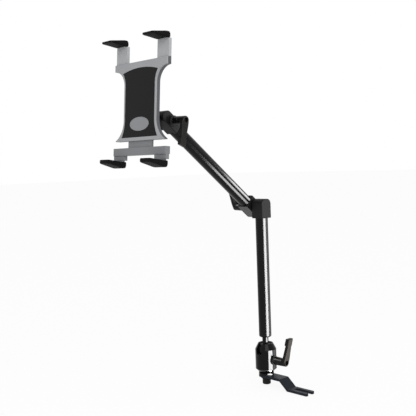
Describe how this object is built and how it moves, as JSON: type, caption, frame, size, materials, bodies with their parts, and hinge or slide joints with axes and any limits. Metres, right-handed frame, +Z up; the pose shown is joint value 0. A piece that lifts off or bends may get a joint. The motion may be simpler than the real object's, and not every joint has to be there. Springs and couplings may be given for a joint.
{
  "type": "car seat rail tablet mount",
  "caption": "Forked bracket for a seat rail bolt with a lockable ball head, a folding tube arm with ratchet levers and a spring-loaded holder that grips a tablet.",
  "frame": {"origin": "centre of the fork slot's rounded root, on the fork's underside, where the rail bolt stands", "axes": "+Z up along the rail bolt and the pole, +X along the bracket out of the fork, -Y towards the passenger whom the tablet faces"},
  "size_m": [0.1965, 0.2528, 0.5451],
  "materials": {
    "bracket_coat": "satin",
    "black_coat": "gloss",
    "black_tube": "gloss",
    "block_plastic": "satin",
    "lever_coat": "satin",
    "holder_grey": "satin",
    "panel_black": "satin",
    "hook_rubber": "matte",
    "zinc_steel": "satin",
    "black_steel": "satin",
    "spring_steel": "satin",
    "liner_plastic": "satin",
    "washer_plastic": "matte"
  },
  "bodies": {
    "base": {"rail_bracket": "bracket_coat", "base_washer": "black_steel", "base_lock_washer": "black_steel", "base_bolt": "black_steel", "housing_plug": "black_coat", "ball_housing": "black_coat", "clamp_cup": "zinc_steel"},
    "base_spindle": {"base_spindle": "zinc_steel", "base_lever_screw": "black_steel", "base_lever_spring": "spring_steel"},
    "base_handle": {"base_lever": "lever_coat"},
    "liner": {"ball_liner": "liner_plastic"},
    "ball": {"ball_stud": "black_steel"},
    "pole": {"lower_end_plug": "black_coat", "lower_tube": "black_tube", "lower_elbow_block": "block_plastic", "elbow_insert": "zinc_steel"},
    "upper_arm": {"elbow_washer": "washer_plastic", "upper_elbow_block": "block_plastic", "upper_tube": "black_tube", "head_block": "block_plastic"},
    "elbow_spindle": {"elbow_spindle": "zinc_steel", "elbow_lever_screw": "black_steel", "elbow_lever_spring": "spring_steel"},
    "elbow_handle": {"elbow_lever": "lever_coat"},
    "head": {"head_washer": "washer_plastic", "tilt_block": "block_plastic", "head_insert": "zinc_steel", "swivel_washer": "washer_plastic", "swivel_plate": "zinc_steel", "swivel_screw": "zinc_steel"},
    "head_spindle": {"head_spindle": "zinc_steel", "head_lever_screw": "black_steel", "head_lever_spring": "spring_steel"},
    "head_handle": {"head_lever": "lever_coat"},
    "holder": {"rear_shell": "holder_grey", "front_bezel": "holder_grey", "centre_panel": "panel_black", "case_screws": "black_steel", "left_upper_hook": "hook_rubber", "right_upper_hook": "hook_rubber", "jaw_springs": "spring_steel"},
    "jaw": {"jaw_tongue": "holder_grey", "jaw_crossbar": "holder_grey", "jaw_screws": "black_steel", "left_lower_hook": "hook_rubber", "right_lower_hook": "hook_rubber"}
  },
  "joints": [
    {"name": "pole_lean", "type": "hinge", "parent": "base", "child": "liner", "pos_m": [-0.063, 0, 0.056], "axis": [0, 1, 0], "range_deg": [-12, 12]},
    {"name": "pole_tilt", "type": "hinge", "parent": "liner", "child": "ball", "pos_m": [-0.063, 0, 0.056], "axis": [1, 0, 0], "range_deg": [-15, 90]},
    {"name": "pole_turn", "type": "hinge", "parent": "ball", "child": "pole", "pos_m": [-0.063, 0, 0.056], "axis": [0, 0, 1], "continuous": true},
    {"name": "elbow_fold", "type": "hinge", "parent": "pole", "child": "upper_arm", "pos_m": [-0.0855, 0, 0.2866], "axis": [1, 0, 0], "range_deg": [-100, 60]},
    {"name": "head_tilt", "type": "hinge", "parent": "upper_arm", "child": "head", "pos_m": [-0.0855, -0.17089, 0.42195], "axis": [1, 0, 0], "range_deg": [-90, 45]},
    {"name": "holder_turn", "type": "hinge", "parent": "head", "child": "holder", "pos_m": [-0.111, -0.19452, 0.42384], "axis": [0, -0.9968, 0.0795], "continuous": true},
    {"name": "jaw_slide", "type": "slide", "parent": "holder", "child": "jaw", "axis": [0, -0.0795, -0.9968], "range_m": [-0.01, 0.05], "stiffness_N_per_m": 60, "springref_m": -0.04, "deforming": ["jaw_springs"]},
    {"name": "base_clamp_turn", "type": "hinge", "parent": "base", "child": "base_spindle", "pos_m": [-0.044, 0, 0.042], "axis": [1, 0, 0], "range_deg": [-120, 120]},
    {"name": "base_lever_lift", "type": "slide", "parent": "base_spindle", "child": "base_handle", "axis": [1, 0, 0], "range_m": [0, 0.004], "stiffness_N_per_m": 300, "springref_m": -0.004, "deforming": ["base_lever_spring"]},
    {"name": "elbow_clamp_turn", "type": "hinge", "parent": "upper_arm", "child": "elbow_spindle", "pos_m": [-0.0965, 0, 0.2866], "axis": [-1, 0, 0], "continuous": true},
    {"name": "elbow_lever_lift", "type": "slide", "parent": "elbow_spindle", "child": "elbow_handle", "axis": [-1, 0, 0], "range_m": [0, 0.004], "stiffness_N_per_m": 300, "springref_m": -0.004, "deforming": ["elbow_lever_spring"]},
    {"name": "head_clamp_turn", "type": "hinge", "parent": "upper_arm", "child": "head_spindle", "pos_m": [-0.0695, -0.17089, 0.42195], "axis": [1, 0, 0], "continuous": true},
    {"name": "head_lever_lift", "type": "slide", "parent": "head_spindle", "child": "head_handle", "axis": [1, 0, 0], "range_m": [0, 0.004], "stiffness_N_per_m": 300, "springref_m": -0.004, "deforming": ["head_lever_spring"]}
  ]
}
